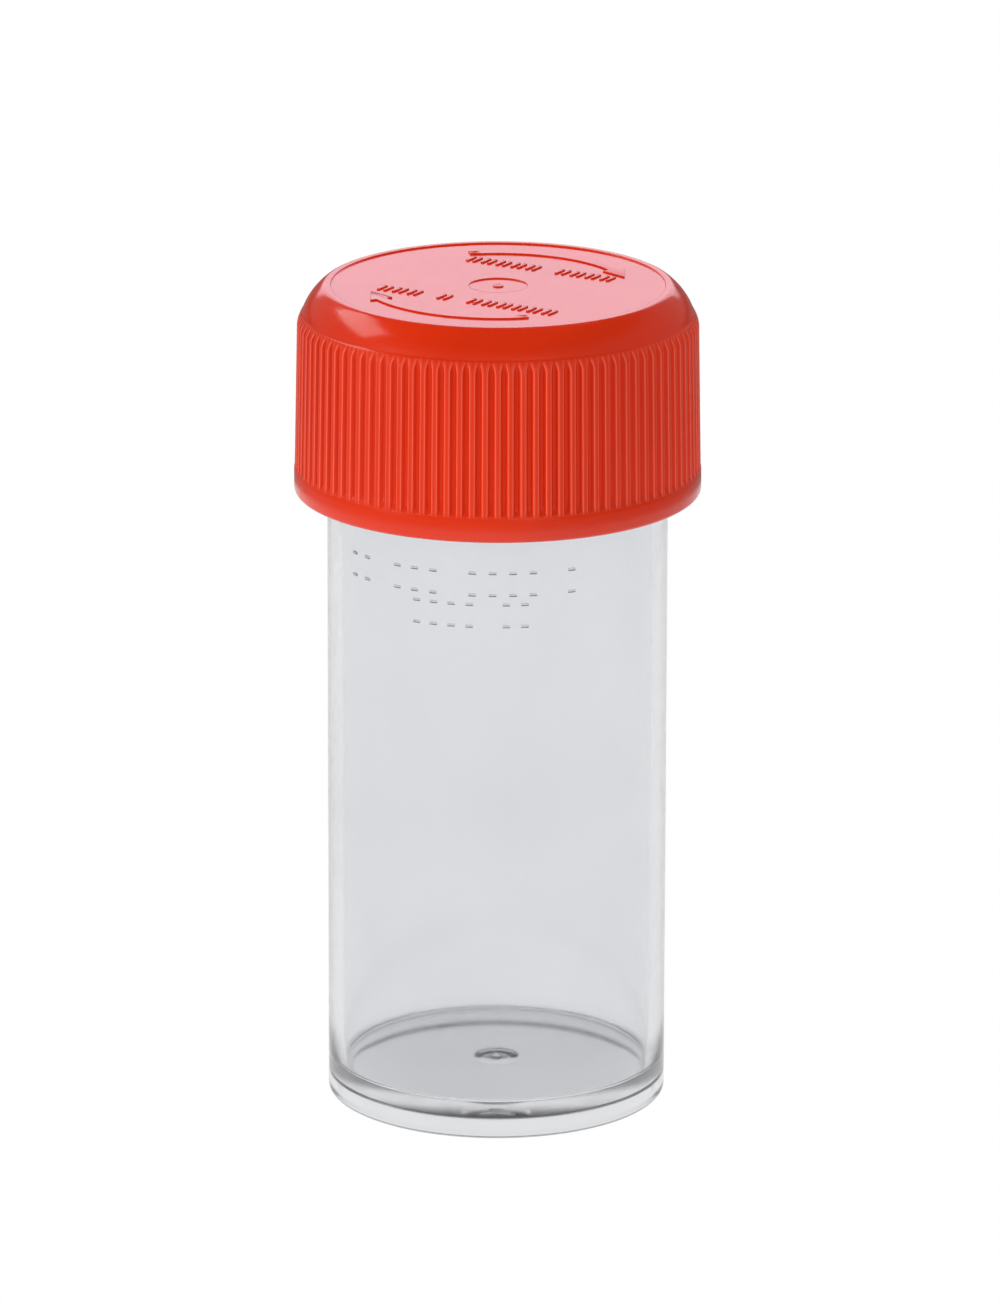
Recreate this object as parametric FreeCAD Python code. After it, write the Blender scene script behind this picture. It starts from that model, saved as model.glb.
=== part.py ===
# Screw-capped sample container: a straight moulded tube, a ribbed screw cap and a sealing disc.
# Millimetres, +Z up. The origin is the centre of the foot ring's resting plane.
import FreeCAD, Part
import math
import os

V = FreeCAD.Vector
Z_AXIS = V(0, 0, 1)

# ---- Driving dimensions ------------------------------------------------------------------------

# Tube
tube_r = 17.5                # outside radius of the straight wall
wall = 1.5                   # wall thickness
wall_top_z = 64.2            # the straight wall ends here, just under the closed cap
neck_r = 17.2                # outside radius of the threaded neck
floor_under_z = 2.0          # underside of the floor, above the foot ring's resting plane
floor_thick = 1.6
foot_round = 0.6             # outside corner of the foot
foot_inner_round = 0.3
floor_corner = 0.6           # inside corner between wall and floor
rim_z = 83.6                 # sealing face at the mouth
rim_round = 0.35
gate_r = 2.2                 # moulding gate in the middle of the floor
gate_depth = 0.45
gate_dome = 0.3
gate_nub_r = 0.5
gate_nub_h = 0.35
stub_sunk = 0.2              # how far a gate stub is sunk into what it stands on

# Thread, one right-hand start
pitch = 4.0
thread_h = 1.1               # radial height of a ridge
ridge_root = 1.7             # ridge width at its root
ridge_crest = 0.9
ridge_sunk = 0.25            # how far a ridge is sunk into its wall
neck_thread_z = 73.5         # middle of the tube's ridge where it starts
neck_turns = 2.0
cap_turns = 2.3
thread_play = 0.3            # radial play, ridge crest to opposite wall
flank_play = 0.12            # axial play on the loaded flank
cap_lead = 0.5               # turns by which the cap's ridge starts ahead of the tube's

# Cap, outside
cap_top_z = 86.35
edge_r = 17.8                # edge between the flat border and the shoulder
shoulder_end = (20.05, 83.4)
shoulder_bulge = 0.29        # how far the shoulder arc stands off its chord
lip = 0.06                   # small mould step under the shoulder
flare_mid = (20.42, 82.8)    # point on the concave flare between lip and grip
grip_top = (20.55, 82.1)
grip_bottom = (20.82, 67.5)
band_r = 20.89               # smooth band under the grip
band_top_z = 67.1
cap_rim_z = 64.7
band_round = 0.45

# Cap, top face
border_r = 17.1              # inside edge of the raised border
panel_drop = 0.15            # the panel lies this far under the border
dimple_r = 3.0
dimple_depth = 0.12
sprue_r = 0.55
sprue_h = 0.12
mark_h = 0.15                # height of the raised marks on the panel
mark_sunk = 0.2

# Cap, inside
mouth_lead = 0.4             # lead-in at the open end
mouth_chamfer_h = 0.8
seat_r = 18.2                # pocket that holds the sealing disc
bead_r = 17.85               # bead that keeps the disc in its pocket
bead_z = 82.95
bead_h = 0.5
bead_clear_z = 0.15          # from the bead up to the disc

# Grip: vertical grooves around the cap, with sloped sides and a narrow flat root
groove_count = 100
groove_w = 0.80
groove_depth = 0.36
groove_flat = 0.28           # width of the flat root
groove_over = 0.4            # the cutter reaches this far outside the cap
cutter_room = 2.0            # half size of the blocks that trim the cutter's foot
groove_start_z = 84.2
groove_foot_z = 68.0         # foot of a groove, at its root
groove_foot_h = 0.62         # height of the sloped foot

# Closing arrows, one on each half of the panel
arrow_r = 13.3
arrow_w = 1.0
arrow_tail = 103.0           # degrees, counter-clockwise from +X
arrow_neck = 27.0
arrow_tip = 13.0
arrow_head_w = 2.5

# Two rows of raised tally bars, two thin bars to a cell
bar_w = 0.3
bar_gap = 0.75               # from one bar of a pair to the other
bar_len = 1.7
bar_pitch = 1.75
row_angle = 150.0            # direction of both rows
front_row = {"start": (5.2, -11.1), "cells": [0, 1, 2, 3, 4, 5, 7, 9, 10, 11]}
back_row = {"start": (11.2, 2.6), "cells": [0, 1, 2, 3, 5, 6, 7, 8, 9]}

# Faint raised dashes on the tube's front, under the cap
dash_h = 0.10
dash_w = 0.8
dash_tall = 0.3
dash_gap = 2.3               # from the lower dash of a cell to its upper dash
dash_sunk = 0.3
upper_cells = {"z": 58.3, "first_deg": -146.0, "step_deg": 6.8, "cells": [0, 1, 3, 4, 5, 7, 8, 9, 10, 12]}
lower_cells = {"z": 55.0, "first_deg": -118.0, "step_deg": 6.2, "cells": [0, 1, 2, 3, 5, 6]}

# Sealing disc
disc_r = 18.1
disc_thick = 1.0
disc_round = 0.12

# ---- Sizes that follow -------------------------------------------------------------------------

tube_bore_r = tube_r - wall
floor_z = floor_under_z + floor_thick
seat_z = rim_z + disc_thick
panel_z = cap_top_z - panel_drop
cap_bore_r = neck_r + thread_h + thread_play
cap_mouth_r = cap_bore_r + mouth_lead
SIN45 = math.sqrt(0.5)


# ---- Building blocks ---------------------------------------------------------------------------

def outline_face(start, steps):
    """Face in the XZ plane. A step of two numbers is a line to (r, z); four are an arc by way of a point."""
    edges = []
    here = V(start[0], 0, start[1])
    for step in steps:
        end = V(step[-2], 0, step[-1])
        if len(step) == 4:
            edges.append(Part.Arc(here, V(step[0], 0, step[1]), end).toShape())
        else:
            edges.append(Part.LineSegment(here, end).toShape())
        here = end
    return Part.Face(Part.Wire(edges))


def turned(start, steps, degrees=360.0):
    """Solid turned about Z from an outline."""
    return outline_face(start, steps).revolve(V(0, 0, 0), Z_AXIS, degrees)


def round_corner(r, z, radius, r_sign, z_sign):
    """Middle point of a quarter round whose square corner is (r, z); the signs point to its centre."""
    inset = radius * (1 - SIN45)
    return (r + r_sign * inset, z + z_sign * inset)


def thread_ridge(root_r, outward, start_z, turns):
    """Helical ridge of trapezoid section. outward is +1 on the tube's neck and -1 inside the cap."""
    sunk_half = ridge_root / 2 + ridge_sunk * (ridge_root - ridge_crest) / (2 * thread_h)
    sunk_r = root_r - outward * ridge_sunk
    crest_r = root_r + outward * thread_h
    corners = [
        V(sunk_r, 0, -sunk_half),
        V(crest_r, 0, -ridge_crest / 2),
        V(crest_r, 0, ridge_crest / 2),
        V(sunk_r, 0, sunk_half),
    ]
    section = Part.makePolygon(corners + [corners[0]])
    helix = Part.Wire(Part.makeHelix(pitch, pitch * turns, root_r).Edges)
    ridge = helix.makePipeShell([section], True, True)
    ridge.translate(V(0, 0, start_z))
    return ridge


def turned_about_z(shape, degrees):
    copy = shape.copy()
    copy.rotate(V(0, 0, 0), Z_AXIS, degrees)
    return copy


# ---- Tube --------------------------------------------------------------------------------------

def tube_shell():
    """Wall, floor and foot ring in one turned outline."""
    foot = round_corner(tube_r, 0, foot_round, -1, 1)
    foot_in = round_corner(tube_bore_r, 0, foot_inner_round, 1, 1)
    rim_out = round_corner(neck_r, rim_z, rim_round, -1, -1)
    rim_in = round_corner(tube_bore_r, rim_z, rim_round, 1, -1)
    corner = round_corner(tube_bore_r, floor_z, floor_corner, -1, 1)
    return turned(
        (0, floor_under_z),
        [
            (tube_bore_r, floor_under_z),
            (tube_bore_r, foot_inner_round),
            (*foot_in, tube_bore_r + foot_inner_round, 0),
            (tube_r - foot_round, 0),
            (*foot, tube_r, foot_round),
            (tube_r, wall_top_z),
            (neck_r, wall_top_z + tube_r - neck_r),
            (neck_r, rim_z - rim_round),
            (*rim_out, neck_r - rim_round, rim_z),
            (tube_bore_r + rim_round, rim_z),
            (*rim_in, tube_bore_r, rim_z - rim_round),
            (tube_bore_r, floor_z + floor_corner),
            (*corner, tube_bore_r - floor_corner, floor_z),
            (0, floor_z),
            (0, floor_under_z),
        ],
    )


def dome(height, z):
    """Solid dome of the gate's radius, standing on the plane at z."""
    sphere_r = (gate_r ** 2 + height ** 2) / (2 * height)
    latitude = math.degrees(math.acos(gate_r / sphere_r))
    return Part.makeSphere(sphere_r, V(0, 0, z + height - sphere_r), Z_AXIS, latitude, 90, 360)


def gate_nub():
    """Stub of the moulding gate, under the floor's middle."""
    tip_z = floor_under_z + gate_depth - gate_nub_h
    return Part.makeCylinder(gate_nub_r, gate_nub_h + stub_sunk, V(0, 0, tip_z))


def wall_dash(z, degrees):
    """One faint raised dash on the outside of the wall, centred at this height and bearing."""
    span = math.degrees(dash_w / tube_r)
    low_r = tube_r - dash_sunk
    top_r = tube_r + dash_h
    low_z = z - dash_tall / 2
    high_z = z + dash_tall / 2
    dash = turned((low_r, low_z), [(top_r, low_z), (top_r, high_z), (low_r, high_z), (low_r, low_z)], span)
    return turned_about_z(dash, degrees - span / 2)


def wall_dashes():
    dashes = []
    for row in (upper_cells, lower_cells):
        for cell in row["cells"]:
            bearing = row["first_deg"] + cell * row["step_deg"]
            dashes.append(wall_dash(row["z"], bearing))
            dashes.append(wall_dash(row["z"] + dash_gap, bearing))
    return dashes


def make_tube():
    ridge = thread_ridge(neck_r, 1, neck_thread_z, neck_turns)
    shell = tube_shell().cut(dome(gate_depth, floor_under_z))
    shell = shell.fuse([dome(gate_dome, floor_z), gate_nub(), ridge] + wall_dashes())
    return shell.removeSplitter()


# ---- Cap ---------------------------------------------------------------------------------------

def shoulder_middle():
    """Point that the shoulder's arc passes through, off the middle of its chord."""
    run = shoulder_end[0] - edge_r
    fall = cap_top_z - shoulder_end[1]
    chord = math.hypot(run, fall)
    mid_r = edge_r + run / 2 + shoulder_bulge * fall / chord
    mid_z = cap_top_z - fall / 2 + shoulder_bulge * run / chord
    return (mid_r, mid_z)


def cap_blank():
    """Cap with no grooves, thread or marks: top plate, shoulder, skirt, band and the disc's pocket."""
    lip_r = shoulder_end[0] + lip
    band_corner = round_corner(band_r, cap_rim_z, band_round, -1, 1)
    bead_top = bead_z + bead_h
    return turned(
        (0, panel_z - dimple_depth),
        [
            (dimple_r, panel_z - dimple_depth),
            (dimple_r, panel_z),
            (border_r, panel_z),
            (border_r, cap_top_z),
            (edge_r, cap_top_z),
            (*shoulder_middle(), *shoulder_end),
            (lip_r, shoulder_end[1] - lip),
            (*flare_mid, *grip_top),
            grip_bottom,
            (band_r, band_top_z),
            (band_r, cap_rim_z + band_round),
            (*band_corner, band_r - band_round, cap_rim_z),
            (cap_mouth_r, cap_rim_z),
            (cap_bore_r, cap_rim_z + mouth_chamfer_h),
            (cap_bore_r, bead_z - (cap_bore_r - bead_r)),
            (bead_r, bead_z),
            (bead_r, bead_top - bead_clear_z),
            (seat_r, bead_top + bead_clear_z),
            (seat_r, seat_z),
            (0, seat_z),
            (0, panel_z - dimple_depth),
        ],
    )


def grip_cutter():
    """One groove: follows the skirt's slope, dies out on the shoulder, and ends in a sloped foot."""
    slope = (grip_bottom[0] - grip_top[0]) / (grip_top[1] - grip_bottom[1])
    sections = []
    for z in (groove_start_z, groove_foot_z - groove_foot_h):
        crest = grip_top[0] + (grip_top[1] - z) * slope
        root = crest - groove_depth
        reach = crest + groove_over
        root_half = groove_flat / 2
        half = root_half + (groove_w / 2 - root_half) * (reach - root) / groove_depth
        corners = [V(root, -root_half, z), V(reach, -half, z), V(reach, half, z), V(root, root_half, z)]
        sections.append(Part.makePolygon(corners + [corners[0]]))
    prism = Part.makeLoft(sections, True, True)
    root_r = grip_bottom[0] - groove_depth
    foot_reach = groove_depth + groove_over
    foot_drop = groove_foot_h * foot_reach / groove_depth
    inside_r = root_r - cutter_room
    wedge_corners = [
        V(inside_r, -cutter_room, groove_foot_z),
        V(root_r, -cutter_room, groove_foot_z),
        V(root_r + foot_reach, -cutter_room, groove_foot_z - foot_drop),
        V(inside_r, -cutter_room, groove_foot_z - foot_drop),
    ]
    wedge_face = Part.Face(Part.makePolygon(wedge_corners + [wedge_corners[0]]))
    return prism.cut(wedge_face.extrude(V(0, 2 * cutter_room, 0)))


def grip_cutters():
    cutter = grip_cutter()
    step = 360.0 / groove_count
    return [turned_about_z(cutter, (i + 0.5) * step) for i in range(groove_count)]


def closing_arrow():
    """Curved bar with a filled head that points clockwise, the way the cap closes."""
    low_z = panel_z - mark_sunk
    high_z = panel_z + mark_h
    inner = arrow_r - arrow_w / 2
    outer = arrow_r + arrow_w / 2
    bar = turned(
        (inner, low_z),
        [(outer, low_z), (outer, high_z), (inner, high_z), (inner, low_z)],
        arrow_tail - arrow_neck,
    )
    bar = turned_about_z(bar, arrow_neck)
    neck = math.radians(arrow_neck)
    tip = math.radians(arrow_tip)
    head_in = arrow_r - arrow_head_w / 2
    head_out = arrow_r + arrow_head_w / 2
    corners = [
        V(head_in * math.cos(neck), head_in * math.sin(neck), low_z),
        V(head_out * math.cos(neck), head_out * math.sin(neck), low_z),
        V(arrow_r * math.cos(tip), arrow_r * math.sin(tip), low_z),
    ]
    head = Part.Face(Part.makePolygon(corners + [corners[0]])).extrude(V(0, 0, mark_h + mark_sunk))
    return bar.fuse(head)


def tally_bars(row):
    """Pairs of short raised bars across a straight row on the panel."""
    along = V(math.cos(math.radians(row_angle)), math.sin(math.radians(row_angle)), 0)
    bars = []
    start = V(row["start"][0], row["start"][1], panel_z - mark_sunk)
    for cell in row["cells"]:
        for side in (-bar_gap / 2, bar_gap / 2):
            bar = Part.makeBox(bar_w, bar_len, mark_h + mark_sunk, V(-bar_w / 2, -bar_len / 2, 0))
            bar.rotate(V(0, 0, 0), Z_AXIS, row_angle)
            bar.translate(start + along * (cell * bar_pitch + side))
            bars.append(bar)
    return bars


def sprue_mark():
    """Stub of the moulding gate, in the middle of the dimple."""
    root_z = panel_z - dimple_depth - stub_sunk
    return Part.makeCylinder(sprue_r, stub_sunk + sprue_h, V(0, 0, root_z))


def make_cap():
    ridge_half_sum = (ridge_root + ridge_crest) / 2 - (ridge_root - ridge_crest) / 2 * thread_play / thread_h
    ridge_offset = ridge_half_sum + flank_play
    start_z = neck_thread_z - ridge_offset - cap_lead * pitch
    ridge = thread_ridge(cap_bore_r, -1, start_z, cap_turns)
    ridge = turned_about_z(ridge, -cap_lead * 360.0)
    arrow = closing_arrow()
    marks = [arrow, turned_about_z(arrow, 180), sprue_mark()]
    marks += tally_bars(front_row) + tally_bars(back_row)
    blank = cap_blank().cut(Part.Compound(grip_cutters()))
    return blank.fuse([ridge] + marks).removeSplitter()


# ---- Sealing disc ------------------------------------------------------------------------------

def make_sealing_disc():
    low = round_corner(disc_r, rim_z, disc_round, -1, 1)
    high = round_corner(disc_r, seat_z, disc_round, -1, -1)
    return turned(
        (0, rim_z),
        [
            (disc_r - disc_round, rim_z),
            (*low, disc_r, rim_z + disc_round),
            (disc_r, seat_z - disc_round),
            (*high, disc_r - disc_round, seat_z),
            (0, seat_z),
            (0, rim_z),
        ],
    )


# ---- Output ------------------------------------------------------------------------------------

def write_node(name, shape):
    solids = shape.Solids
    box = shape.optimalBoundingBox(False)
    print(f"{name}: {len(solids)} solid, valid {shape.isValid()}, {shape.Volume:.1f} mm3, "
          f"z {box.ZMin:.2f} to {box.ZMax:.2f}, r {box.XMax:.2f}, faces {len(shape.Faces)}")
    node = solids[0] if len(solids) == 1 else shape
    node.exportStep(f"parts/{name}.step")


os.makedirs("parts", exist_ok=True)
write_node("tube", make_tube())
write_node("cap", make_cap())
write_node("sealing_disc", make_sealing_disc())
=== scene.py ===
# Looks of a screw-capped sample tube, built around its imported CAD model. Metres, +Z up.
import math

import bmesh
import bpy
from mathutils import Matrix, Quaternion, Vector


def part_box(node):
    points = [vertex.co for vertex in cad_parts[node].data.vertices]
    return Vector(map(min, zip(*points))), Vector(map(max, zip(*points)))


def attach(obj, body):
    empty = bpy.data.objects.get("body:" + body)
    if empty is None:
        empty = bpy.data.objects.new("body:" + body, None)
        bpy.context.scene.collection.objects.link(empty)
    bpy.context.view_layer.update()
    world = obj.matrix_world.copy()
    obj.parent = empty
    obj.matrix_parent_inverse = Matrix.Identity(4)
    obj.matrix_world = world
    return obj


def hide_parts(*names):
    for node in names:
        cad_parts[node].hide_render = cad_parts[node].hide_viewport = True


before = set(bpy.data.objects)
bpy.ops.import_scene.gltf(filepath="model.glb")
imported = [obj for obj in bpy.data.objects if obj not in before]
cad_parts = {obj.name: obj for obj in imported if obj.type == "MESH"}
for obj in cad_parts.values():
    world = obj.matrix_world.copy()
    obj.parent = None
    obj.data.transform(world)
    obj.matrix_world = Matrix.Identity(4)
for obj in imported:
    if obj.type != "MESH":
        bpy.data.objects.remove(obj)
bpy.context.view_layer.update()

# ---- Sizes in metres ---------------------------------------------------------------------------

MM = 0.001

# Tube
TUBE_R = 17.5 * MM
BORE_R = 16.0 * MM
WALL_TOP_Z = 64.2 * MM
NECK_R = 17.2 * MM
RIM_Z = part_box("tube")[1].z
FLOOR_UNDER_Z = 2.0 * MM
FLOOR_Z = 3.6 * MM
FOOT_ROUND = 0.6 * MM
FOOT_INNER_ROUND = 0.3 * MM
FLOOR_CORNER = 0.6 * MM
RIM_ROUND = 0.35 * MM
GATE_R = 2.2 * MM
GATE_DEPTH = 0.45 * MM
GATE_DOME = 0.3 * MM
NUB_R = 0.5 * MM
NUB_H = 0.35 * MM
NUB_ROUND = 0.08 * MM
NUB_OVERLAP = 0.1 * MM        # how far the nub's root goes into the floor
LAND = 0.3 * MM               # flat ring around the gate's dimple
RECESS_ROUND = 0.3 * MM
CENTRE_R = 0.3 * MM           # the innermost ring of the cap's top
MIDDLE_R = 9 * MM             # a ring that halves the wide flat faces
APRON = 0.2 * MM              # flat ring beside a rounded corner
MERGE_DISTANCE = 1e-7
CREASE = 0.05 * MM            # distance of a supporting ring from an edge
OUTER_HEIGHTS = (1.5 * MM, 6 * MM, 20 * MM, 40 * MM, 60 * MM)
INNER_HEIGHTS = (60 * MM, 40 * MM, 20 * MM, 8 * MM)
DOME_SHARES = (1.0, 0.9, 0.75, 0.6, 0.45, 0.3, 0.15, 0.05)

# Thread
PITCH = 4.0 * MM
THREAD_H = 1.1 * MM
RIDGE_ROOT = 1.7 * MM
RIDGE_CREST = 0.9 * MM
THREAD_PLAY = 0.3 * MM
FLANK_PLAY = 0.12 * MM
NECK_THREAD_Z = 73.5 * MM
NECK_TURNS = 2.0
CAP_LEAD = 0.5
CAP_TURNS = 2.3
RAMP = 0.09                   # turns over which a ridge rises at its ends
RIDGE_SOFT = 0.1 * MM
NECK_THREAD_SPAN = (71.5 * MM, 82.9 * MM)
CAP_THREAD_SPAN = (65.7 * MM, 81.8 * MM)
NECK_FOOT_Z = 66 * MM

# Cap, outside
CAP_RIM_Z, CAP_TOP_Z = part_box("cap")[0].z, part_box("cap")[1].z
EDGE_R = 17.8 * MM
EDGE_ROUND = 0.16 * MM
EDGE_SHARES = ((-1, 0), (-0.45, -0.06), (0.15, -0.32))    # the rounded edge, in shares of EDGE_ROUND
EDGE_LAND = 0.1 * MM
SHOULDER_STEPS = 16
SHOULDER_END = (20.05 * MM, 83.4 * MM)
SHOULDER_BULGE = 0.29 * MM
LIP = 0.06 * MM
LIP_SHARES = (0.35, 0.3)
GRIP_TOP = (20.55 * MM, 82.1 * MM)
GRIP_BOTTOM = (20.82 * MM, 67.5 * MM)
BAND_R = 20.89 * MM
BAND_TOP_Z = 67.1 * MM
BAND_ROUND = 0.45 * MM
FLARE_POWER = 1.7             # how the skirt's top curves out under the shoulder

# Cap, top face
BORDER_R = 17.1 * MM
PANEL_Z = CAP_TOP_Z - 0.15 * MM
DIMPLE_R = 3.0 * MM
DIMPLE_DEPTH = 0.12 * MM
SPRUE_R = 0.55 * MM
SPRUE_H = 0.12 * MM
SPRUE_BEVEL = 0.05 * MM
STUB_POINTS = 24
# points (across, up) in mm from the foot or crest of a soft step
STEP_FOOT = ((-0.12, 0), (-0.05, 0), (-0.01, 0.03))
DIMPLE_CREST = ((0, -0.03), (0.03, 0), (0.12, 0))
BAND_CREST = ((-0.06, 0.15), (-0.015, 0), (0, -0.2))
BORDER_CREST = ((0, -0.04), (0.03, -0.01), (0.08, 0), (0.15, 0))
MARK_H = 0.15 * MM
MARK_SUNK = 0.2 * MM
MARK_BEVEL = 0.04 * MM

# Cap, inside
CAP_BORE_R = NECK_R + THREAD_H + THREAD_PLAY
CAP_MOUTH_R = CAP_BORE_R + 0.4 * MM
MOUTH_CHAMFER_H = 0.8 * MM
MOUTH_EDGE = 0.1 * MM
MOUTH_LEAN = 0.02 * MM
SEAT_R = 18.2 * MM
SEAT_Z = 84.6 * MM
BEAD_R = 17.85 * MM
BEAD_Z = 82.95 * MM
BEAD_H = 0.5 * MM
BEAD_CLEAR = 0.15 * MM

# Grip grooves
GROOVES = 100
GROOVE_W = 0.80 * MM
GROOVE_DEPTH = 0.36 * MM
GROOVE_FLAT = 0.28 * MM
GROOVE_EDGE = 0.07 * MM       # softening of a groove's edges, to each side
GROOVE_SOFTEST = 0.7          # most of a groove's side that the softening may take
GROOVE_DISH = 0.98            # depth at the sides of the flat bottom, as a share
GROOVE_POINTS = 10            # points around the cap for each groove
EVEN_START = 1                # a plain ring's first point stands this many points round
# painted highlight: how far each point of one groove's repeat is coloured towards the pale edge red,
# standing in for gloss on the groove edges
EDGE_HIGHLIGHT_SHARES = (0.3, 1.0, 0.0, 0.0, 0.0, 0.0, 0.0, 1.0, 0.3, 0.0)
FLARE_STEPS = 14
GRIP_HEIGHTS = (80 * MM, 76 * MM, 72 * MM, 69 * MM)
FOOT_SHARES = (0.15, 0.3, 0.45, 0.6, 0.75, 0.9, 1.0)
LEAST = 0.01 * MM
GROOVE_FOOT_Z = 68.0 * MM
GROOVE_FOOT_H = 0.62 * MM

# Marks on the cap
ARROW_R = 13.3 * MM
ARROW_W = 1.0 * MM
ARROW_HEAD_W = 2.5 * MM
ARROW_TAIL, ARROW_NECK, ARROW_TIP = 103.0, 27.0, 13.0
ARROW_STEPS = 26
BAR_W = 0.3 * MM
BAR_GAP = 0.75 * MM
BAR_LEN = 1.7 * MM
BAR_PITCH = 1.75 * MM
ROW_ANGLE = 150.0
FRONT_ROW = {"start": (5.2 * MM, -11.1 * MM), "cells": [0, 1, 2, 3, 4, 5, 7, 9, 10, 11]}
BACK_ROW = {"start": (11.2 * MM, 2.6 * MM), "cells": [0, 1, 2, 3, 5, 6, 7, 8, 9]}

# Marks on the tube
DASH_H = 0.10 * MM
DASH_W = 0.8 * MM
DASH_TALL = 0.3 * MM
DASH_GAP = 2.3 * MM
DASH_COLUMNS = 8
DASH_SQUARENESS = 6           # a higher power makes a dash fuller at its ends
DASH_ROWS = ((-0.5, 0.0), (-0.3, 0.35), (0.0, 0.5), (0.3, 0.35), (0.5, 0.0))    # across, crown
DASH_SUNK = 0.995             # share of the radius at which a dash's back lies
UPPER_CELLS = {"z": 58.3 * MM, "first": -146.0, "step": 6.8, "cells": [0, 1, 3, 4, 5, 7, 8, 9, 10, 12]}
LOWER_CELLS = {"z": 55.0 * MM, "first": -118.0, "step": 6.2, "cells": [0, 1, 2, 3, 5, 6]}

# Sealing disc
DISC_R = 18.1 * MM
DISC_ROUND = 0.12 * MM
DISC_RINGS = (0.5 * MM, 6 * MM, 12 * MM, 17 * MM)

# Materials: colours, grain per metre, gloss and relief
RED_DARK, RED_LIGHT = (0.68, 0.027, 0.003), (0.74, 0.032, 0.004)
# pale red painted onto the groove edges as a highlight
EDGE_HIGHLIGHT_COLOUR = (0.95, 0.13, 0.075, 1)
CLEAR_DARK, CLEAR_LIGHT = (0.885, 0.892, 0.912), (0.915, 0.922, 0.940)
FOAM_DARK, FOAM_LIGHT = (0.84, 0.84, 0.81), (0.92, 0.92, 0.90)
BLACK, WHITE = (0, 0, 0, 1), (1, 1, 1, 1)
NOISE_SPAN = (0.3, 0.7)       # where nearly all of a noise's values lie
RED_FLOW, RED_GLOSS_GRAIN, RED_SKIN = 60, 900, 420
RED_ROUGHNESS = (0.13, 0.19)
RED_IOR = 1.5
RED_RELIEF = (0.00006, 0.25)
CLEAR_HAZE, CLEAR_GLOSS_GRAIN = 70, 500
CLEAR_ROUGHNESS = (0.05, 0.09)
CLEAR_IOR = 1.49
CLEAR_TRANSMISSION = 0.975
FOAM_CELLS = 3500
FOAM_ROUGHNESS = 0.7
FOAM_RELIEF = (0.0001, 0.4)

# Studio
FLOOR_DROP = 0.02 * MM
FLOOR_RADII = (0.1, 0.4, 1.5, 6.0)
FLOOR_COLUMNS = 96
TABLE_DROP = 0.05 * MM
TABLE_R = 0.230
TABLE_EDGE = 0.010
TABLE_GREY = (0.1, 0.1, 0.1, 1)
TABLE_BRIGHT = 0.82
FAR_DIM = 0.15                # the light table's glow outside its lit disc
ROOM = 0.06
BAND_GLOW = 0.20
BAND_BOTTOM = (0.0, 0.10)     # the band fades in and out between these sines of the elevation
BAND_TOP = (0.45, 0.75)
PANEL_BRIGHT = 1.7
PANEL_Y = 0.15
PANEL_SIDE = 0.085
PANEL_HEIGHTS = (0.096, 0.23)
PANEL_SOFT = 0.015
PANEL_TINT = (0.93, 0.93, 1.06, 1)
KEY_PLACE = (-1.0, 0.46, 0.94)
KEY_SIZE = (1.0, 0.45)
KEY_POWER = 3.5
FILL_SIZE = (0.5, 0.5)
FILLS = {                     # place in metres, power in watts
    "fill_front": ((0.32, -0.95, 0.35), 4.7),
    "fill_left": ((-0.95, -0.45, 0.30), 6.6),
    "fill_top": ((0.35, 0.55, 1.20), 8.3),
}

# Camera: fitted to the photograph's viewing angle
AIM = Vector((0, 0, 45 * MM))
CAMERA_DISTANCE = 1.0
CAMERA_ELEVATION = 16.74
CAMERA_TURN_RIGHT = 0.016     # degrees
CAMERA_TURN_UP = 0.129
CAMERA_ROLL = 0.13
LENS = 268.2
SENSOR = 36.0
CLIP_START = 0.01

TUBE_COLUMNS = 240
CAP_INSIDE_COLUMNS = 200


# ---- Mesh building -----------------------------------------------------------------------------

def on_circle(r, z, degrees):
    a = math.radians(degrees)
    return (r * math.cos(a), r * math.sin(a), z)


def circle(r, z, count):
    return [on_circle(r, z, 360.0 * i / count) for i in range(count)]


def arc_points(centre, radius, start, end, steps):
    """Points (r, z) on an arc in the outline's plane, from one angle in degrees to another."""
    angles = [start + (end - start) * i / steps for i in range(steps + 1)]
    return [
        (centre[0] + radius * math.cos(math.radians(a)), centre[1] + radius * math.sin(math.radians(a)))
        for a in angles
    ]


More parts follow.
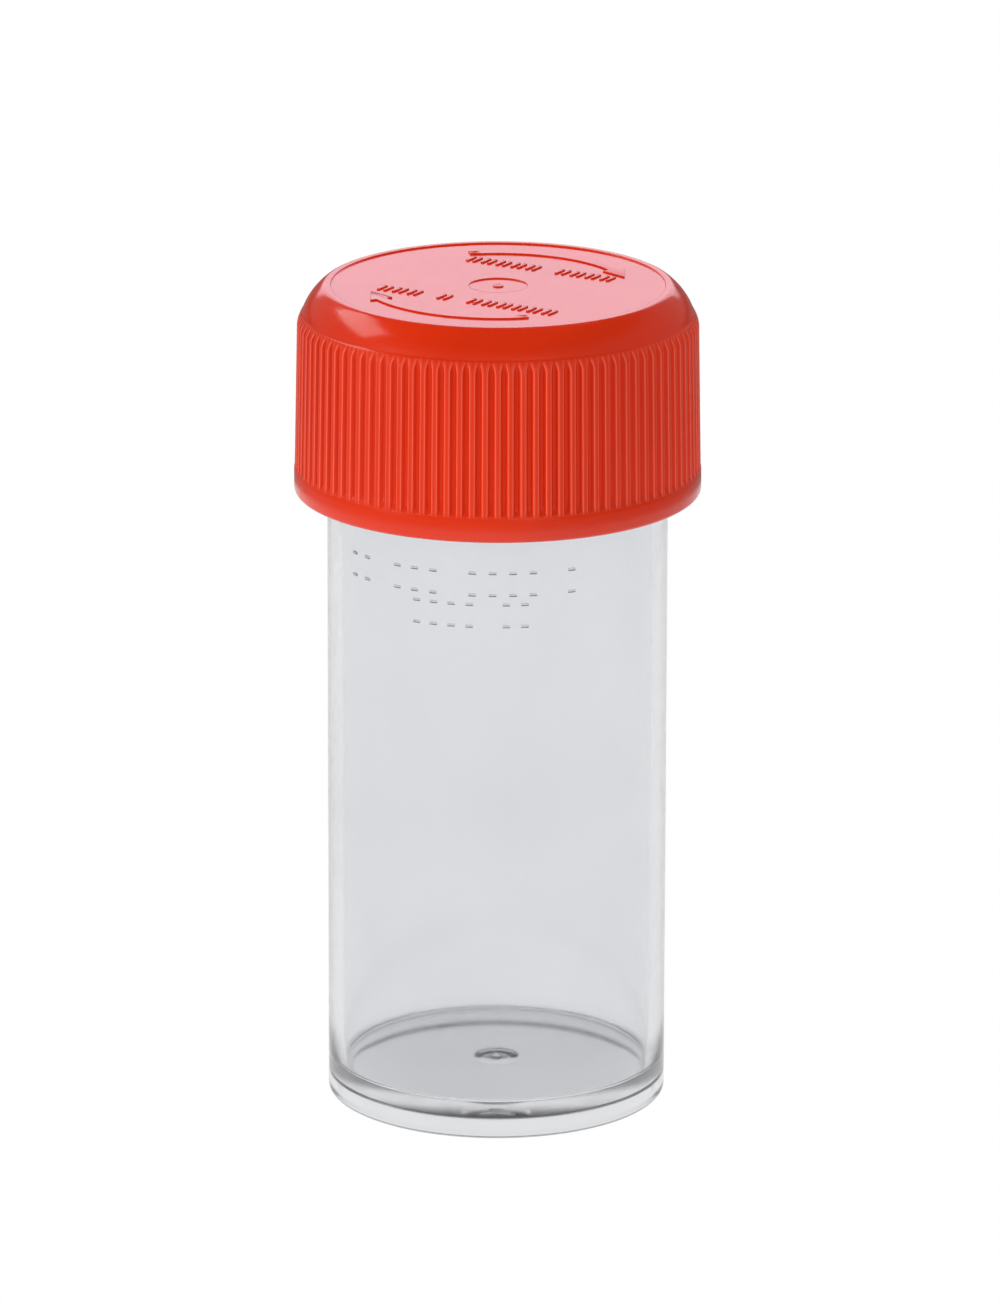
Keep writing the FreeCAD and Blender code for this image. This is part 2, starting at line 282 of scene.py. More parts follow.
class Skin:
    """Collects points and faces, and becomes one mesh piece."""

    def __init__(self):
        self.points = []
        self.faces = []
        self.edge_highlight = {}

    def ring(self, points, edge_highlight=None):
        """Adds a ring of points. The optional shares give, at each point of one repeat, how much painted
        highlight lightens the colour there.
        """
        first = len(self.points)
        self.points.extend(points)
        if edge_highlight is not None:
            self.edge_highlight.update({first + i: edge_highlight[i % len(edge_highlight)] for i in range(len(points))})
        return list(range(first, len(self.points)))

    def loft(self, low, high):
        """Quads between two rings of the same count."""
        n = len(low)
        for i in range(n):
            j = (i + 1) % n
            self.faces.append((low[i], low[j], high[j], high[i]))

    def lathe(self, outline, columns, before=None):
        """Rings for each (r, z) of an outline, joined to the ring before. Returns the last ring."""
        for r, z in outline:
            ring = self.ring(circle(r, z, columns))
            if before is not None:
                self.loft(before, ring)
            before = ring
        return before

    def bridge(self, few, many):
        """Flat faces between a coarse ring and a finer one that has a whole multiple of its points."""
        n = len(few)
        k = len(many) // n
        for i in range(n):
            fine = [many[(i * k + s) % len(many)] for s in range(k, -1, -1)]
            self.faces.append((few[i], few[(i + 1) % n], *fine))

    def close(self, ring, point):
        centre = self.ring([point])[0]
        n = len(ring)
        for i in range(n):
            self.faces.append((centre, ring[i], ring[(i + 1) % n]))

    def piece(self, name, sharp=40.0):
        mesh = bpy.data.meshes.new(name)
        mesh.from_pydata(self.points, [], self.faces)
        if self.edge_highlight:
            # the painted edge highlight shares go into a colour layer
            layer = mesh.color_attributes.new("edge_highlight", "FLOAT_COLOR", "POINT")
            for i, entry in enumerate(layer.data):
                value = self.edge_highlight.get(i, 0.0)
                entry.color = (value, value, value, 1)
        work = bmesh.new()
        work.from_mesh(mesh)
        bmesh.ops.remove_doubles(work, verts=work.verts, dist=MERGE_DISTANCE)
        bmesh.ops.recalc_face_normals(work, faces=work.faces)
        work.to_mesh(mesh)
        work.free()
        return finish_mesh(name, mesh, sharp)


def finish_mesh(name, mesh, sharp):
    mesh.shade_smooth()
    mesh.set_sharp_from_angle(angle=math.radians(sharp))
    piece = bpy.data.objects.new(name, mesh)
    bpy.context.scene.collection.objects.link(piece)
    return piece


def dress(piece, body, slot, material, *nodes):
    """Gives a piece its body and material, and lets it stand for CAD nodes. Its slot argument is not used.
    """
    piece.data.materials.append(material)
    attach(piece, body)
    if nodes:
        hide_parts(*nodes)
    return piece


def smooth_step(x):
    x = min(max(x, 0.0), 1.0)
    return x * x * (3 - 2 * x)


def threaded_wall(skin, before, root_r, outward, low_z, high_z, start_z, turns, columns):
    """Wall from low_z to high_z with a helical ridge, returning the ring at high_z.
    Its rows climb with the thread and are cut off level at both ends.
    outward is +1 for an outside thread and -1 for an inside one."""
    half_root = RIDGE_ROOT / 2
    half_crest = RIDGE_CREST / 2
    soft = RIDGE_SOFT
    # height from the ridge's middle, and share of the ridge's full height
    side = [
        (half_crest - soft, 1.0),
        (half_crest, 0.96),
        (half_crest + soft * 0.5, 0.82),
        (half_root - soft * 0.5, 0.10),
        (half_root + soft * 0.5, 0.02),
        (half_root + soft * 1.6, 0.0),
        (PITCH / 2 - soft, 0.0),
    ]
    section = [(-h, a) for h, a in reversed(side)] + side
    turns_below = math.ceil((start_z - PITCH / 2 - low_z) / PITCH) + 1
    base_z = start_z - turns_below * PITCH
    count = math.ceil((high_z - base_z) / PITCH) + 1
    rows = []
    for turn in range(count + 1):
        for height, amount in section:
            row = []
            for i in range(columns):
                share = i / columns
                along = turn - turns_below + share
                rise = smooth_step(along / RAMP) * smooth_step((turns - along) / RAMP)
                r = root_r + outward * THREAD_H * amount * rise
                z = base_z + (turn + share) * PITCH + height
                row.append(on_circle(r, min(max(z, low_z), high_z), 360.0 * share))
            rows.append(skin.ring(row))
    if before is not None:
        skin.loft(before, rows[0])
    per_turn = len(section)
    for j in range(len(rows) - 1):
        for i in range(columns - 1):
            skin.faces.append((rows[j][i], rows[j][i + 1], rows[j + 1][i + 1], rows[j + 1][i]))
        low_next = rows[min(j + per_turn, len(rows) - 1)][0]
        high_next = rows[min(j + 1 + per_turn, len(rows) - 1)][0]
        skin.faces.append((rows[j][-1], low_next, high_next, rows[j + 1][-1]))
    return rows[-1]


# ---- Tube --------------------------------------------------------------------------------------

def dome_outline(height, base_z, outwards):
    """Outline of a shallow dome of the gate's radius, from its rim to near the axis or back."""
    sphere_r = (GATE_R ** 2 + height ** 2) / (2 * height)
    points = []
    for share in DOME_SHARES:
        r = GATE_R * share
        points.append((r, base_z + height - sphere_r + math.sqrt(sphere_r ** 2 - r ** 2)))
    return list(reversed(points)) if outwards else points


def make_tube_skin():
    skin = Skin()
    under = dome_outline(GATE_DEPTH, FLOOR_UNDER_Z, True)
    start = skin.ring(circle(*under[0], TUBE_COLUMNS))
    skin.close(start, (0, 0, FLOOR_UNDER_Z + GATE_DEPTH))
    outside = under[1:]
    outside += [(r, FLOOR_UNDER_Z) for r in (GATE_R + LAND, MIDDLE_R, BORE_R - RECESS_ROUND - APRON)]
    outside += arc_points((BORE_R - RECESS_ROUND, FLOOR_UNDER_Z - RECESS_ROUND), RECESS_ROUND, 90, 0, 4)
    outside += arc_points((BORE_R + FOOT_INNER_ROUND, FOOT_INNER_ROUND), FOOT_INNER_ROUND, 180, 270, 5)
    outside += arc_points((TUBE_R - FOOT_ROUND, FOOT_ROUND), FOOT_ROUND, -90, 0, 7)
    neck_z = WALL_TOP_Z + TUBE_R - NECK_R
    outside += [(TUBE_R, z) for z in (*OUTER_HEIGHTS, WALL_TOP_Z - CREASE, WALL_TOP_Z)]
    outside += [(NECK_R, z) for z in (neck_z, neck_z + CREASE, NECK_FOOT_Z)]
    ring = skin.lathe(outside, TUBE_COLUMNS, start)
    ring = threaded_wall(
        skin, ring, NECK_R, 1, *NECK_THREAD_SPAN, NECK_THREAD_Z, NECK_TURNS, TUBE_COLUMNS
    )
    inside = arc_points((NECK_R - RIM_ROUND, RIM_Z - RIM_ROUND), RIM_ROUND, 0, 90, 5)
    inside += arc_points((BORE_R + RIM_ROUND, RIM_Z - RIM_ROUND), RIM_ROUND, 90, 180, 5)
    inside += [(BORE_R, z) for z in INNER_HEIGHTS]
    inside += arc_points((BORE_R - FLOOR_CORNER, FLOOR_Z + FLOOR_CORNER), FLOOR_CORNER, 0, -90, 6)
    inside += [(r, FLOOR_Z) for r in (BORE_R - FLOOR_CORNER - APRON, MIDDLE_R, GATE_R + LAND)]
    inside += dome_outline(GATE_DOME, FLOOR_Z, False)
    last = skin.lathe(inside, TUBE_COLUMNS, ring)
    skin.close(last, (0, 0, FLOOR_Z + GATE_DOME))
    return skin.piece("tube_body", sharp=50)


def prism(work, outline, low_z, high_z, bevel):
    """Closed prism on a flat outline, with softened top edges, added to a bmesh."""
    low = [work.verts.new((x, y, low_z)) for x, y in outline]
    high = [work.verts.new((x, y, high_z)) for x, y in outline]
    n = len(outline)
    work.faces.new(list(reversed(low)))
    top = work.faces.new(high)
    for i in range(n):
        j = (i + 1) % n
        work.faces.new((low[i], low[j], high[j], high[i]))
    bmesh.ops.bevel(work, geom=list(top.edges), offset=bevel, segments=3, profile=0.5, affect="EDGES")


def make_tube_marks():
    """Faint raised dashes on the tube's front."""
    work = bmesh.new()
    half_w = DASH_W / TUBE_R / 2
    for row in (UPPER_CELLS, LOWER_CELLS):
        for cell in row["cells"]:
            bearing = math.radians(row["first"] + cell * row["step"])
            for lift in (0.0, DASH_GAP):
                wall_dash(work, row["z"] + lift, bearing, half_w)
    gate_nub(work)
    bmesh.ops.recalc_face_normals(work, faces=work.faces)
    mesh = bpy.data.meshes.new("tube_marks")
    work.to_mesh(mesh)
    work.free()
    return finish_mesh("tube_marks", mesh, 60)


def wall_dash(work, z, bearing, half_w):
    """One dash with rounded ends, as a closed pad on the wall."""
    grid = []
    for across, crown in DASH_ROWS:
        line = []
        for i in range(DASH_COLUMNS + 1):
            u = 2.0 * i / DASH_COLUMNS - 1
            rise = crown * math.sqrt(max(0.0, 1 - u ** DASH_SQUARENESS))
            r = TUBE_R + DASH_H * rise
            a = bearing + half_w * u
            line.append(work.verts.new((r * math.cos(a), r * math.sin(a), z + across * DASH_TALL)))
        grid.append(line)
    for j in range(len(DASH_ROWS) - 1):
        for i in range(DASH_COLUMNS):
            work.faces.new((grid[j][i], grid[j][i + 1], grid[j + 1][i + 1], grid[j + 1][i]))
    rim = grid[0] + [line[-1] for line in grid[1:-1]] + list(reversed(grid[-1]))
    rim += [line[0] for line in reversed(grid[1:-1])]
    sunk = [work.verts.new((v.co.x * DASH_SUNK, v.co.y * DASH_SUNK, v.co.z)) for v in rim]
    n = len(rim)
    for i in range(n):
        j = (i + 1) % n
        work.faces.new((rim[i], rim[j], sunk[j], sunk[i]))
    work.faces.new(sunk)


def gate_nub(work):
    """Stub of the moulding gate under the floor."""
    root = FLOOR_UNDER_Z + GATE_DEPTH
    low = [work.verts.new(point) for point in circle(NUB_R, root + NUB_OVERLAP, STUB_POINTS)]
    high = [work.verts.new(point) for point in circle(NUB_R, root - NUB_H, STUB_POINTS)]
    work.faces.new(low)
    tip = work.faces.new(list(reversed(high)))
    for i in range(STUB_POINTS):
        j = (i + 1) % STUB_POINTS
        work.faces.new((low[i], low[j], high[j], high[i]))
    bmesh.ops.bevel(work, geom=list(tip.edges), offset=NUB_ROUND, segments=3, profile=0.5, affect="EDGES")


# ---- Cap ---------------------------------------------------------------------------------------

def shoulder_outline():
    """Arc from the border's edge down to the lip, as (r, z) points."""
    x0, z0 = EDGE_R, CAP_TOP_Z
    x1, z1 = SHOULDER_END
    run, fall = x1 - x0, z0 - z1
    chord = math.hypot(run, fall)
    radius = (chord ** 2 / 4 + SHOULDER_BULGE ** 2) / (2 * SHOULDER_BULGE)
    normal = (fall / chord, run / chord)
    centre = (
        (x0 + x1) / 2 - normal[0] * (radius - SHOULDER_BULGE),
        (z0 + z1) / 2 - normal[1] * (radius - SHOULDER_BULGE),
    )
    start = math.degrees(math.atan2(z0 - centre[1], x0 - centre[0]))
    end = math.degrees(math.atan2(z1 - centre[1], x1 - centre[0]))
    return arc_points(centre, radius, start, end, SHOULDER_STEPS)


def grip_radius(z):
    """Radius of the skirt between the grooves at this height."""
    slope = (GRIP_BOTTOM[0] - GRIP_TOP[0]) / (GRIP_TOP[1] - GRIP_BOTTOM[1])
    if z <= GRIP_TOP[1]:
        return GRIP_TOP[0] + (GRIP_TOP[1] - z) * slope
    low_r, low_z = GRIP_TOP
    high_r, high_z = SHOULDER_END[0] + LIP, SHOULDER_END[1] - LIP
    share = (z - low_z) / (high_z - low_z)
    return low_r + (high_r - low_r) * share ** FLARE_POWER


def groove_root(z):
    slope = (GRIP_BOTTOM[0] - GRIP_TOP[0]) / (GRIP_TOP[1] - GRIP_BOTTOM[1])
    return GRIP_TOP[0] + (GRIP_TOP[1] - z) * slope - GROOVE_DEPTH


def grooved_ring(r, z, depth, bottom_half, half):
    """Points around the skirt with grooves of this depth. Half widths are at the groove's flat bottom and
    at its mouth; the sloped sides between them meet the skirt in a soft edge."""
    soft = min(GROOVE_EDGE, GROOVE_SOFTEST * (half - bottom_half))
    slope = depth / (half - bottom_half)
    cuts = [
        (0.0, depth),
        (bottom_half, depth * GROOVE_DISH),
        (half - soft, slope * soft),
        (half, slope * soft / 4),
        (half + soft, 0.0),
    ]
    points = []
    for k in range(GROOVES):
        middle = (k + 0.5) * 360.0 / GROOVES
        for offset, cut in reversed(cuts[1:]):
            points.append(on_circle(r - cut, z, middle - math.degrees(offset / r)))
        for offset, cut in cuts:
            points.append(on_circle(r - cut, z, middle + math.degrees(offset / r)))
        points.append(on_circle(r, z, middle + 180.0 / GROOVES))
    return points


def grip_rings():
    """Rings of the grip from under the lip down to the band, as point lists."""
    root_half = GROOVE_FLAT / 2
    side = (GROOVE_W - GROOVE_FLAT) / 2
    rings = []
    top = SHOULDER_END[1] - LIP
    heights = [top + (GRIP_TOP[1] - top) * i / FLARE_STEPS for i in range(FLARE_STEPS + 1)]
    for z in (*heights, *GRIP_HEIGHTS, GROOVE_FOOT_Z):
        r = grip_radius(z)
        depth = max(r - groove_root(z), 0.0)
        mouth_half = root_half + max(side * depth / GROOVE_DEPTH, LEAST)
        rings.append(grooved_ring(r, z, depth, root_half, mouth_half))
    for share in FOOT_SHARES:
        z = GROOVE_FOOT_Z - GROOVE_FOOT_H * share
        bottom_half = root_half + min(side * share, side - LEAST)
        rings.append(grooved_ring(grip_radius(z), z, GROOVE_DEPTH * (1 - share), bottom_half, GROOVE_W / 2))
    return rings


def even_ring(r, z):
    """Plain ring with as many points as a grooved one."""
    count = GROOVES * GROOVE_POINTS
    return [on_circle(r, z, 360.0 / count * (i + EVEN_START)) for i in range(count)]


def near(r, z, offsets):
    """Outline points at small offsets in mm from a place."""
    return [(r + across * MM, z + up * MM) for across, up in offsets]


def make_cap_skin():
    skin = Skin()
    # top face, from the middle out
    dimple_z = PANEL_Z - DIMPLE_DEPTH
    inner = [(CENTRE_R, dimple_z)]
    inner += near(DIMPLE_R, dimple_z, STEP_FOOT) + near(DIMPLE_R, PANEL_Z, DIMPLE_CREST)
    inner.append((MIDDLE_R, PANEL_Z))
    inner += near(BORDER_R, PANEL_Z, STEP_FOOT) + near(BORDER_R, CAP_TOP_Z, BORDER_CREST)
    start = skin.ring(circle(*inner[0], CAP_INSIDE_COLUMNS))
    skin.close(start, (0, 0, dimple_z))
    border = skin.lathe(inner[1:], CAP_INSIDE_COLUMNS, start)
    # border, shoulder and lip
    outline = [(EDGE_R - EDGE_ROUND - EDGE_LAND, CAP_TOP_Z)]
    outline += [(EDGE_R + across * EDGE_ROUND, CAP_TOP_Z + up * EDGE_ROUND) for across, up in EDGE_SHARES]
    outline += shoulder_outline()[1:]
    outline.append((SHOULDER_END[0] + LIP * LIP_SHARES[0], SHOULDER_END[1] - LIP * LIP_SHARES[1]))
    ring = skin.ring(even_ring(*outline[0]))
    skin.bridge(border, ring)
    for r, z in outline[1:]:
        higher = ring
        ring = skin.ring(even_ring(r, z))
        skin.loft(higher, ring)
    # grip
    for points in grip_rings():
        higher = ring
        ring = skin.ring(points, EDGE_HIGHLIGHT_SHARES)
        skin.loft(higher, ring)
    # band, down to the rim
    low_outline = near(BAND_R, BAND_TOP_Z, BAND_CREST)
    low_outline += arc_points((BAND_R - BAND_ROUND, CAP_RIM_Z + BAND_ROUND), BAND_ROUND, 0, -90, 7)
    low_outline.append((BAND_R - BAND_ROUND - EDGE_LAND, CAP_RIM_Z))
    for r, z in low_outline:
        higher = ring
        ring = skin.ring(even_ring(r, z))
        skin.loft(higher, ring)
    # inside, from the rim up
    mouth = skin.ring(circle(CAP_MOUTH_R + MOUTH_EDGE, CAP_RIM_Z, CAP_INSIDE_COLUMNS))
    skin.bridge(mouth, ring)
    lead = [
        (CAP_MOUTH_R, CAP_RIM_Z + MOUTH_EDGE),
        (CAP_BORE_R + MOUTH_LEAN, CAP_RIM_Z + MOUTH_CHAMFER_H),
        (CAP_BORE_R, CAP_RIM_Z + MOUTH_CHAMFER_H + MOUTH_EDGE),
    ]
    ring = skin.lathe(lead, CAP_INSIDE_COLUMNS, mouth)
    half_sum = (RIDGE_ROOT + RIDGE_CREST) / 2 - (RIDGE_ROOT - RIDGE_CREST) / 2 * THREAD_PLAY / THREAD_H
    start_z = NECK_THREAD_Z - half_sum - FLANK_PLAY - 2 * CAP_LEAD * PITCH
    ring = threaded_wall(
        skin, ring, CAP_BORE_R, -1, *CAP_THREAD_SPAN, start_z, CAP_TURNS + CAP_LEAD, CAP_INSIDE_COLUMNS
    )
    bead_top = BEAD_Z + BEAD_H
    pocket = [
        (BEAD_R + CREASE, BEAD_Z - CREASE),
        (BEAD_R, BEAD_Z + CREASE),
        (BEAD_R, bead_top - BEAD_CLEAR - CREASE),
        (BEAD_R + CREASE, bead_top - BEAD_CLEAR),
        (SEAT_R, bead_top + BEAD_CLEAR),
        (SEAT_R, SEAT_Z),
        (MIDDLE_R, SEAT_Z),
        (0.5 * MM, SEAT_Z),
    ]
    ring = skin.lathe([(CAP_BORE_R, BEAD_Z - (CAP_BORE_R - BEAD_R))] + pocket, CAP_INSIDE_COLUMNS, ring)
    skin.close(ring, (0, 0, SEAT_Z))
    return skin.piece("cap_shell", sharp=50)


def arrow_outline(turn):
    """Closing arrow seen from above: a curved bar with a filled head that points clockwise."""
    inner, outer = ARROW_R - ARROW_W / 2, ARROW_R + ARROW_W / 2
    turn_step = (ARROW_NECK - ARROW_TAIL) / ARROW_STEPS
    bearings = [ARROW_TAIL + turn_step * i for i in range(ARROW_STEPS + 1)]
    points = [on_circle(outer, 0, b + turn)[:2] for b in bearings]
    points.append(on_circle(ARROW_R + ARROW_HEAD_W / 2, 0, ARROW_NECK + turn)[:2])
    points.append(on_circle(ARROW_R, 0, ARROW_TIP + turn)[:2])
    points.append(on_circle(ARROW_R - ARROW_HEAD_W / 2, 0, ARROW_NECK + turn)[:2])
    points += [on_circle(inner, 0, b + turn)[:2] for b in reversed(bearings)]
    return points


def bar_outlines(row):
    """Outlines of the pairs of short bars across a straight row."""
    along = Vector((math.cos(math.radians(ROW_ANGLE)), math.sin(math.radians(ROW_ANGLE))))
    across = Vector((-along.y, along.x))
    corners = [(-1, -1), (1, -1), (1, 1), (-1, 1)]
    outlines = []
    for cell in row["cells"]:
        for side in (-BAR_GAP / 2, BAR_GAP / 2):
            middle = Vector(row["start"]) + along * (cell * BAR_PITCH + side)
            outlines.append([
                tuple(middle + along * (BAR_W / 2 * s) + across * (BAR_LEN / 2 * t)) for s, t in corners
            ])
    return outlines


def make_cap_marks():
    """Raised arrows, tally bars and gate stub on the cap's panel."""
    work = bmesh.new()
    low_z, high_z = PANEL_Z - MARK_SUNK, PANEL_Z + MARK_H
    outlines = [arrow_outline(0), arrow_outline(180)]
    outlines += bar_outlines(FRONT_ROW) + bar_outlines(BACK_ROW)
    for outline in outlines:
        prism(work, list(reversed(outline)), low_z, high_z, MARK_BEVEL)
    stub = [point[:2] for point in circle(SPRUE_R, 0, STUB_POINTS)]
    base = PANEL_Z - DIMPLE_DEPTH
    prism(work, stub, base - MARK_SUNK, base + SPRUE_H, SPRUE_BEVEL)
    bmesh.ops.recalc_face_normals(work, faces=work.faces)
    mesh = bpy.data.meshes.new("cap_marks")
    work.to_mesh(mesh)
    work.free()
    return finish_mesh("cap_marks", mesh, 50)


# ---- Sealing disc ------------------------------------------------------------------------------

def make_disc():
    skin = Skin()
    low = [(r, RIM_Z) for r in DISC_RINGS]
    low += arc_points((DISC_R - DISC_ROUND, RIM_Z + DISC_ROUND), DISC_ROUND, -90, 0, 4)
    high = arc_points((DISC_R - DISC_ROUND, SEAT_Z - DISC_ROUND), DISC_ROUND, 0, 90, 4)
    high += [(r, SEAT_Z) for r in reversed(DISC_RINGS)]
    start = skin.ring(circle(*low[0], TUBE_COLUMNS))
    skin.close(start, (0, 0, RIM_Z))
    ring = skin.lathe(low[1:] + high, TUBE_COLUMNS, start)
    skin.close(ring, (0, 0, SEAT_Z))
    return skin.piece("liner_disc", sharp=60)


# ---- Materials ---------------------------------------------------------------------------------

def new_material(name):
    material = bpy.data.materials.new(name)
    material.use_nodes = True
    tree = material.node_tree
    return material, tree, tree.nodes["Principled BSDF"]


def noise(tree, scale, detail, coordinates):
    node = tree.nodes.new("ShaderNodeTexNoise")
    node.inputs["Scale"].default_value = scale
    node.inputs["Detail"].default_value = detail
    tree.links.new(coordinates, node.inputs["Vector"])
    return node.outputs["Fac"]


def object_coordinates(tree):
    return tree.nodes.new("ShaderNodeTexCoord").outputs["Object"]


def spread(tree, value, low, high):
    """Maps the values that a noise mostly has onto a range."""
    node = tree.nodes.new("ShaderNodeMapRange")
    node.inputs["To Min"].default_value = low
    node.inputs["To Max"].default_value = high
    node.inputs["From Min"].default_value = NOISE_SPAN[0]
    node.inputs["From Max"].default_value = NOISE_SPAN[1]
    tree.links.new(value, node.inputs["Value"])
    return node.outputs["Result"]


def bump(tree, height, distance, strength):
    node = tree.nodes.new("ShaderNodeBump")
    node.inputs["Distance"].default_value = distance
    node.inputs["Strength"].default_value = strength
    tree.links.new(height, node.inputs["Height"])
    return node.outputs["Normal"]


def blend_colours(tree, amount, low, high):
    node = tree.nodes.new("ShaderNodeMix")
    node.data_type = "RGBA"
    node.inputs[6].default_value = (*low, 1)
    node.inputs[7].default_value = (*high, 1)
    tree.links.new(amount, node.inputs[0])
    return node.outputs[2]


def cap_plastic():
    material, tree, shader = new_material("red_cap_plastic")
    at = object_coordinates(tree)
    flow = noise(tree, RED_FLOW, 3, at)
    colour = blend_colours(tree, spread(tree, flow, 0, 1), RED_DARK, RED_LIGHT)
    # painted highlight: the colour layer lightens the groove edges towards a pale red
    edges = tree.nodes.new("ShaderNodeVertexColor")
    edges.layer_name = "edge_highlight"
    highlight_mix = tree.nodes.new("ShaderNodeMix")
    highlight_mix.data_type = "RGBA"
    highlight_mix.inputs[7].default_value = EDGE_HIGHLIGHT_COLOUR
    tree.links.new(edges.outputs["Color"], highlight_mix.inputs[0])
    tree.links.new(colour, highlight_mix.inputs[6])
    tree.links.new(highlight_mix.outputs[2], shader.inputs["Base Color"])
    gloss = spread(tree, noise(tree, RED_GLOSS_GRAIN, 2, at), *RED_ROUGHNESS)
    tree.links.new(gloss, shader.inputs["Roughness"])
    shader.inputs["IOR"].default_value = RED_IOR
    shader.inputs["Specular IOR Level"].default_value = 0.5
    skin = bump(tree, noise(tree, RED_SKIN, 3, at), *RED_RELIEF)
    tree.links.new(skin, shader.inputs["Normal"])
    return material


def clear_plastic():
    material, tree, shader = new_material("clear_polypropylene")
    at = object_coordinates(tree)
    haze = noise(tree, CLEAR_HAZE, 3, at)
    colour = blend_colours(tree, spread(tree, haze, 0, 1), CLEAR_DARK, CLEAR_LIGHT)
    tree.links.new(colour, shader.inputs["Base Color"])
    gloss = spread(tree, noise(tree, CLEAR_GLOSS_GRAIN, 2, at), *CLEAR_ROUGHNESS)
    tree.links.new(gloss, shader.inputs["Roughness"])
    shader.inputs["IOR"].default_value = CLEAR_IOR
    shader.inputs["Transmission Weight"].default_value = CLEAR_TRANSMISSION
    return material


def foam():
    material, tree, shader = new_material("foam_liner")
    at = object_coordinates(tree)
    cells = tree.nodes.new("ShaderNodeTexVoronoi")
    cells.inputs["Scale"].default_value = FOAM_CELLS
    tree.links.new(at, cells.inputs["Vector"])
    colour = blend_colours(tree, cells.outputs["Distance"], FOAM_DARK, FOAM_LIGHT)
    tree.links.new(colour, shader.inputs["Base Color"])
    shader.inputs["Roughness"].default_value = FOAM_ROUGHNESS
    tree.links.new(bump(tree, cells.outputs["Distance"], *FOAM_RELIEF), shader.inputs["Normal"])
    return material


# ---- Studio ------------------------------------------------------------------------------------

def make_camera():
    lens = bpy.data.cameras.new("camera")
    lens.lens = LENS
    lens.sensor_width = SENSOR
    lens.sensor_fit = "AUTO"
    lens.clip_start = CLIP_START
    camera = bpy.data.objects.new("camera", lens)
    bpy.context.scene.collection.objects.link(camera)
    elevation = math.radians(CAMERA_ELEVATION)
    back = Vector((0, -math.cos(elevation), math.sin(elevation)))
    camera.location = AIM + back * CAMERA_DISTANCE
    camera.rotation_mode = "QUATERNION"
    aim = (-back).to_track_quat("-Z", "Y")
    turn = Quaternion((0, 1, 0), -math.radians(CAMERA_TURN_RIGHT))
    tilt = Quaternion((1, 0, 0), math.radians(CAMERA_TURN_UP))
    roll = Quaternion((0, 0, 1), math.radians(CAMERA_ROLL))
    camera.rotation_quaternion = aim @ turn @ tilt @ roll
    bpy.context.scene.camera = camera


def glowing(name, base, colour):
    """Matt material that gives off light of its own."""
    material, tree, shader = new_material(name)
    shader.inputs["Base Color"].default_value = base
    shader.inputs["Roughness"].default_value = 1.0
    shader.inputs["Specular IOR Level"].default_value = 0.0
    shader.inputs["Emission Color"].default_value = colour
    shader.inputs["Emission Strength"].default_value = 1.0
    return material, tree, shader.inputs["Emission Strength"]


def round_floor(name, material, drop):
    skin = Skin()
    start = skin.ring(circle(FLOOR_RADII[0], 0, FLOOR_COLUMNS))
    skin.close(start, (0, 0, 0))
    skin.lathe([(r, 0) for r in FLOOR_RADII[1:]], FLOOR_COLUMNS, start)
    floor = skin.piece(name)
    floor.location.z = -drop
    floor.data.materials.append(material)
    return floor


def make_white_floor():
    """The floor that the camera sees: plain and evenly lit."""
    floor = round_floor("floor_white", glowing("floor_white", BLACK, WHITE)[0], FLOOR_DROP)
    floor.visible_diffuse = False
    floor.visible_glossy = False
    floor.visible_transmission = False
    floor.visible_shadow = False


def multiply(tree, first, second):
    node = tree.nodes.new("ShaderNodeMath")
    node.operation = "MULTIPLY"
    tree.links.new(first, node.inputs[0])
    tree.links.new(second, node.inputs[1])
    return node.outputs["Value"]


def fade(tree, value, start, end, low, high):
    """Smooth step of a value, from low at start to high at end."""
    node = tree.nodes.new("ShaderNodeMapRange")
    node.interpolation_type = "SMOOTHSTEP"
    node.inputs["From Min"].default_value = start
    node.inputs["From Max"].default_value = end
    node.inputs["To Min"].default_value = low
    node.inputs["To Max"].default_value = high
    tree.links.new(value, node.inputs["Value"])
    return node.outputs["Result"]


def make_table():
    """Light table that only reflections and refractions see: an evenly lit disc in a dimmer room."""
    bright = (TABLE_BRIGHT, TABLE_BRIGHT, TABLE_BRIGHT, 1)
    material, tree, strength = glowing("light_table", TABLE_GREY, bright)
    length = tree.nodes.new("ShaderNodeVectorMath")
    length.operation = "LENGTH"
    tree.links.new(object_coordinates(tree), length.inputs[0])
    glow = fade(tree, length.outputs["Value"], TABLE_R, TABLE_R + TABLE_EDGE, 1, FAR_DIM)
    tree.links.new(glow, strength)
    floor = round_floor("light_table", material, FLOOR_DROP + TABLE_DROP)
    floor.visible_camera = False


def make_back_panel():
    """Soft panel of light behind and above the tube, which the flat top mirrors."""
    low, high = PANEL_HEIGHTS
    skin = Skin()
    corners = [(-PANEL_SIDE, low), (PANEL_SIDE, low), (PANEL_SIDE, high), (-PANEL_SIDE, high)]
    skin.faces.append(tuple(skin.ring([(x, PANEL_Y, z) for x, z in corners])))
    panel = skin.piece("back_panel")
    material, tree, strength = glowing("back_panel", BLACK, PANEL_TINT)
    parts = tree.nodes.new("ShaderNodeSeparateXYZ")
    tree.links.new(object_coordinates(tree), parts.inputs["Vector"])
    height = parts.outputs["Z"]
    glow = multiply(
        tree,
        fade(tree, height, low, low + PANEL_SOFT, 0, PANEL_BRIGHT),
        fade(tree, height, high - 3 * PANEL_SOFT, high, 1, 0),
    )
    tree.links.new(glow, strength)
    panel.data.materials.append(material)
    panel.visible_camera = False
    panel.visible_transmission = False


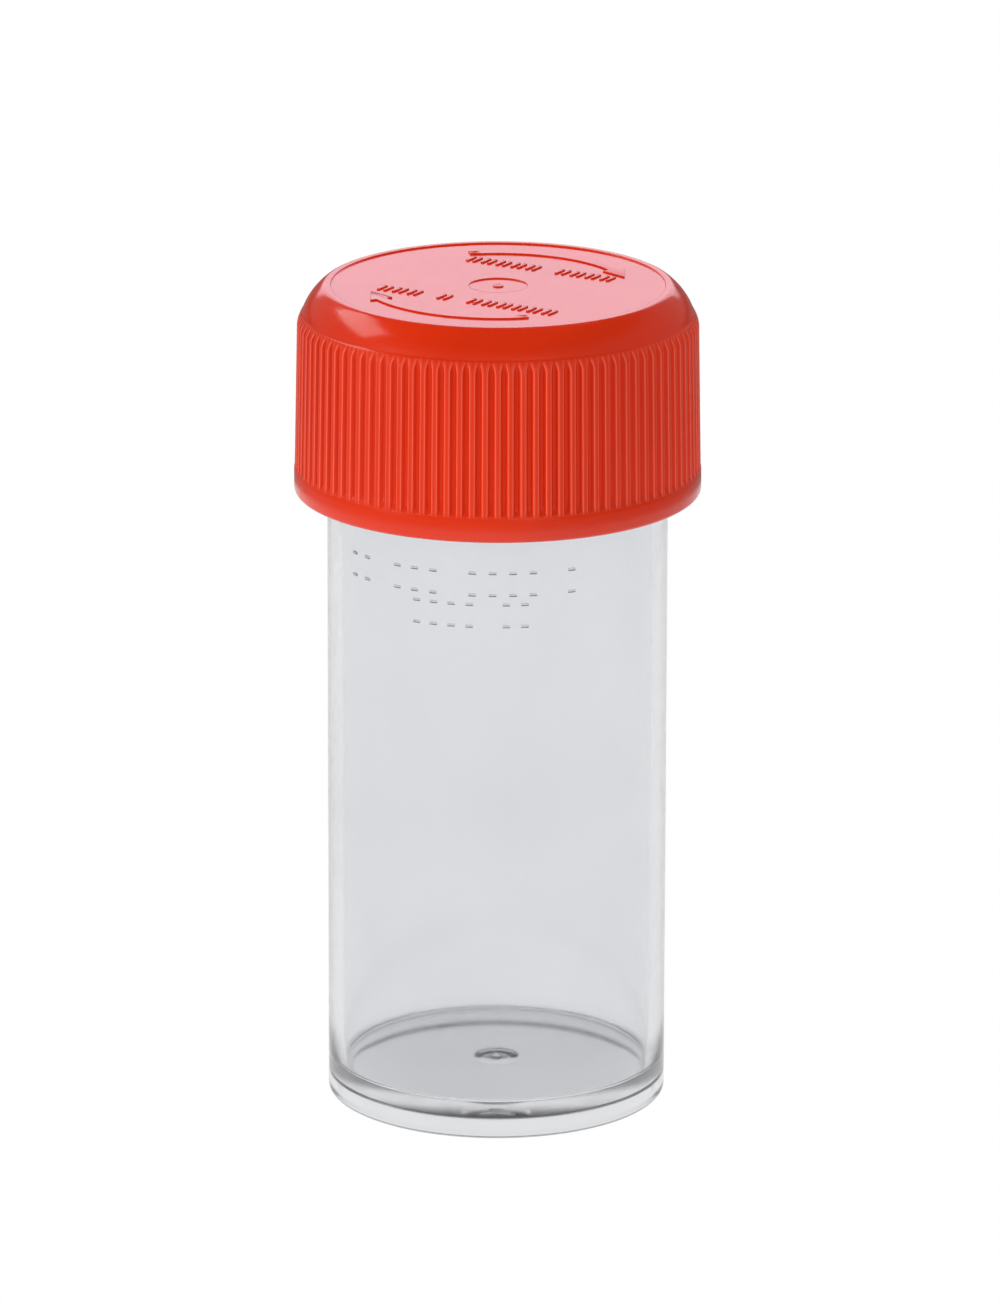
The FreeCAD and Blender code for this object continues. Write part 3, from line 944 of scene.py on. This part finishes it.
def area_light(name, place, size, power):
    light = bpy.data.lights.new(name, "AREA")
    light.shape = "RECTANGLE"
    light.size, light.size_y = size
    light.energy = power
    lamp = bpy.data.objects.new(name, light)
    bpy.context.scene.collection.objects.link(lamp)
    lamp.location = place
    lamp.rotation_mode = "QUATERNION"
    lamp.rotation_quaternion = (AIM - Vector(place)).to_track_quat("-Z", "Y")
    return lamp


def make_world():
    """Dim room with a soft band of light all round, a little above the horizon."""
    world = bpy.data.worlds.new("studio")
    world.use_nodes = True
    tree = world.node_tree
    parts = tree.nodes.new("ShaderNodeSeparateXYZ")
    tree.links.new(tree.nodes.new("ShaderNodeTexCoord").outputs["Generated"], parts.inputs["Vector"])
    height = parts.outputs["Z"]
    band = multiply(
        tree,
        fade(tree, height, *BAND_BOTTOM, 0, BAND_GLOW),
        fade(tree, height, *BAND_TOP, 1, 0),
    )
    total = tree.nodes.new("ShaderNodeMath")
    total.operation = "ADD"
    total.inputs[1].default_value = ROOM
    tree.links.new(band, total.inputs[0])
    tree.links.new(total.outputs["Value"], tree.nodes["Background"].inputs["Strength"])
    tree.nodes["Background"].inputs["Color"].default_value = WHITE
    bpy.context.scene.world = world


def make_lights():
    make_world()
    make_back_panel()
    area_light("key_left", KEY_PLACE, KEY_SIZE, KEY_POWER)
    for name, (place, power) in FILLS.items():
        fill = area_light(name, place, FILL_SIZE, power)
        fill.visible_glossy = False
        fill.visible_transmission = False


def set_colours():
    bpy.context.scene.view_settings.view_transform = "Standard"
    bpy.context.scene.view_settings.look = "None"


# ---- Assembly ----------------------------------------------------------------------------------

make_camera()
make_white_floor()
make_table()
make_lights()
set_colours()

clear = clear_plastic()
red = cap_plastic()
dress(make_tube_skin(), "container", "clear_polypropylene", clear, "tube")
dress(make_tube_marks(), "container", "clear_polypropylene", clear)
dress(make_cap_skin(), "screw_cap", "red_cap_plastic", red, "cap")
dress(make_cap_marks(), "screw_cap", "red_cap_plastic", red)
dress(make_disc(), "liner", "foam_liner", foam(), "sealing_disc")
